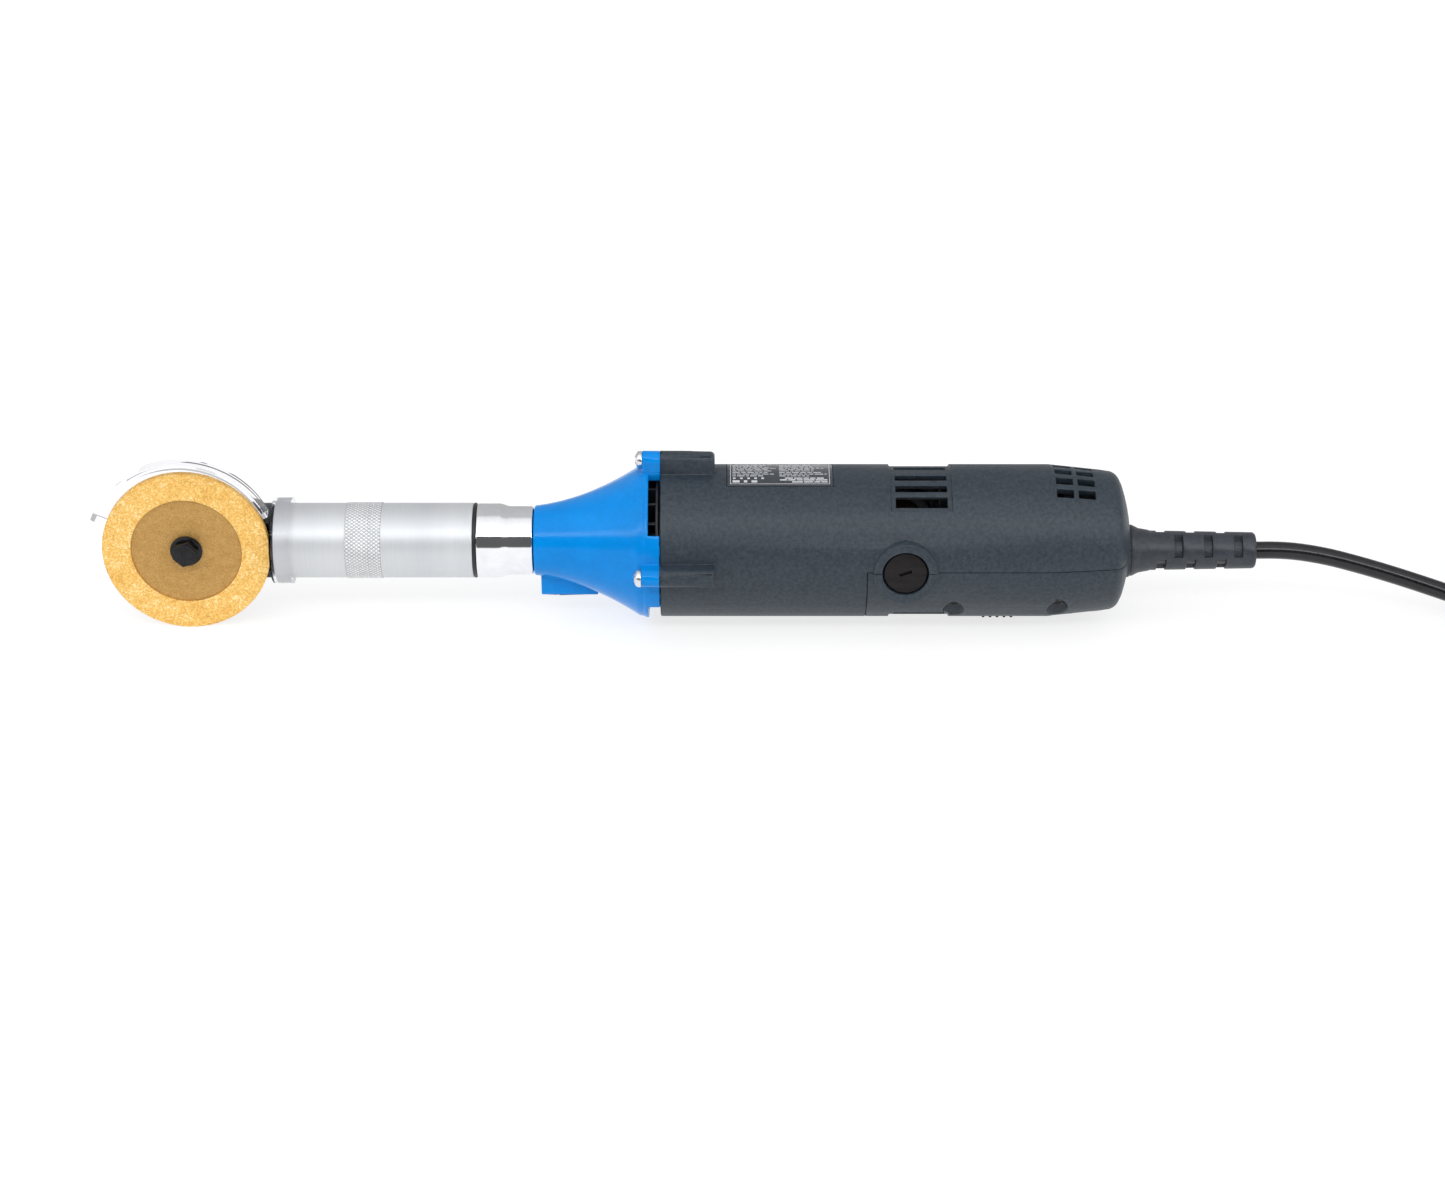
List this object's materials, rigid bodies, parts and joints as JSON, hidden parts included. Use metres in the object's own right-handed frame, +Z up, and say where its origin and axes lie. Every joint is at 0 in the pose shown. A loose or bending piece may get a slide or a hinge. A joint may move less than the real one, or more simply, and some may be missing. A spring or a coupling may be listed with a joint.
{
  "type": "hand grinder",
  "caption": "Corded hand grinder with a motor barrel, a rigid tube neck that swivels, and an angle head with a guarded flat grit wheel.",
  "frame": {"origin": "on the floor under the middle of the tool without its cord, with the tool's axis 35.7 mm above it", "axes": "+X along the tool's axis from the head to the cord, +Z up through the rating label, and the wheel faces -Y"},
  "size_m": [0.7049, 0.1065, 0.077],
  "materials": {
    "housing_plastic": "fine grained moulding",
    "blue_plastic": "glossy moulding",
    "chrome": "polished",
    "aluminium": "satin turned",
    "head_metal": "satin",
    "clear_plastic": "clear polycarbonate",
    "gold_grit": "coarse grit",
    "gold_metal": "fine grit",
    "black_steel": "black oxide",
    "zinc": "bright zinc",
    "steel": "ground",
    "core_steel": "laminated",
    "copper": "enamelled",
    "brass": "turned",
    "carbon": "matt",
    "inner_plastic": "moulded",
    "cap_plastic": "moulded",
    "capacitor": "moulded",
    "label": "satin film",
    "relief_rubber": "matt",
    "seal_rubber": "satin",
    "cable": "smooth sheath",
    "plug_plastic": "moulded",
    "pin_metal": "nickel plated",
    "tie_fabric": "woven strap"
  },
  "bodies": {
    "motor_body": {"motor_housing": "housing_plastic", "lower_cover": "housing_plastic", "cover_screws": "black_steel", "nose_housing": "blue_plastic", "nose_screws": "zinc", "clamp_screw": "zinc", "rating_label": "label", "brush_caps": "cap_plastic", "brush_holders": "brass", "carbon_brushes": "carbon", "brush_springs": "steel", "stator_core": "core_steel", "field_coils": "copper", "air_baffle": "inner_plastic", "front_bearing": "steel", "rear_bearing": "steel", "bearing_support": "inner_plastic", "switch_body": "inner_plastic", "suppression_capacitor": "capacitor", "cable_clamp": "inner_plastic", "clamp_screws": "zinc", "inner_cable": "cable", "strain_relief": "relief_rubber", "cord_lead": "cable", "cord_coil": "cable", "cord_tie": "tie_fabric", "cord_tail": "cable", "mains_plug": "plug_plastic", "plug_pins": "pin_metal"},
    "armature": {"armature_shaft": "steel", "armature_core": "core_steel", "armature_windings": "copper", "commutator": "copper", "cooling_fan": "inner_plastic", "coupling_sleeve": "steel", "drive_shaft": "steel", "shaft_coupling": "steel", "bevel_pinion": "steel"},
    "head": {"neck_adapter": "chrome", "seal_ring": "seal_rubber", "extension_tube": "aluminium", "bearing_carriers": "inner_plastic", "shaft_bearings": "steel", "head_housing": "head_metal", "head_cap": "head_metal", "head_cap_screws": "black_steel", "spindle_bush": "brass", "spindle_bearing": "steel", "wheel_guard": "clear_plastic", "guard_screws": "black_steel"},
    "wheel_spindle": {"spindle": "steel", "bevel_gear": "steel", "grinding_wheel": "gold_metal", "grit_ring": "gold_grit", "wheel_washer": "black_steel", "wheel_bolt": "black_steel"},
    "switch_button": {"switch_slider": "cap_plastic"}
  },
  "joints": [
    {"name": "armature_spin", "type": "hinge", "parent": "motor_body", "child": "armature", "pos_m": [-0.00678, 0, 0.0357], "axis": [1, 0, 0], "continuous": true},
    {"name": "head_swivel", "type": "hinge", "parent": "motor_body", "child": "head", "pos_m": [-0.06078, 0, 0.0357], "axis": [1, 0, 0], "range_deg": [-180, 180]},
    {"name": "wheel_spin", "type": "hinge", "parent": "head", "child": "wheel_spindle", "pos_m": [-0.20818, 0, 0.0357], "axis": [0, -1, 0], "continuous": true},
    {"name": "switch_slide", "type": "slide", "parent": "motor_body", "child": "switch_button", "axis": [-1, 0, 0], "range_m": [0, 0.007]}
  ],
  "couplings": [
    {"joint": "wheel_spin", "follows": "armature_spin", "ratio": 0.75}
  ]
}
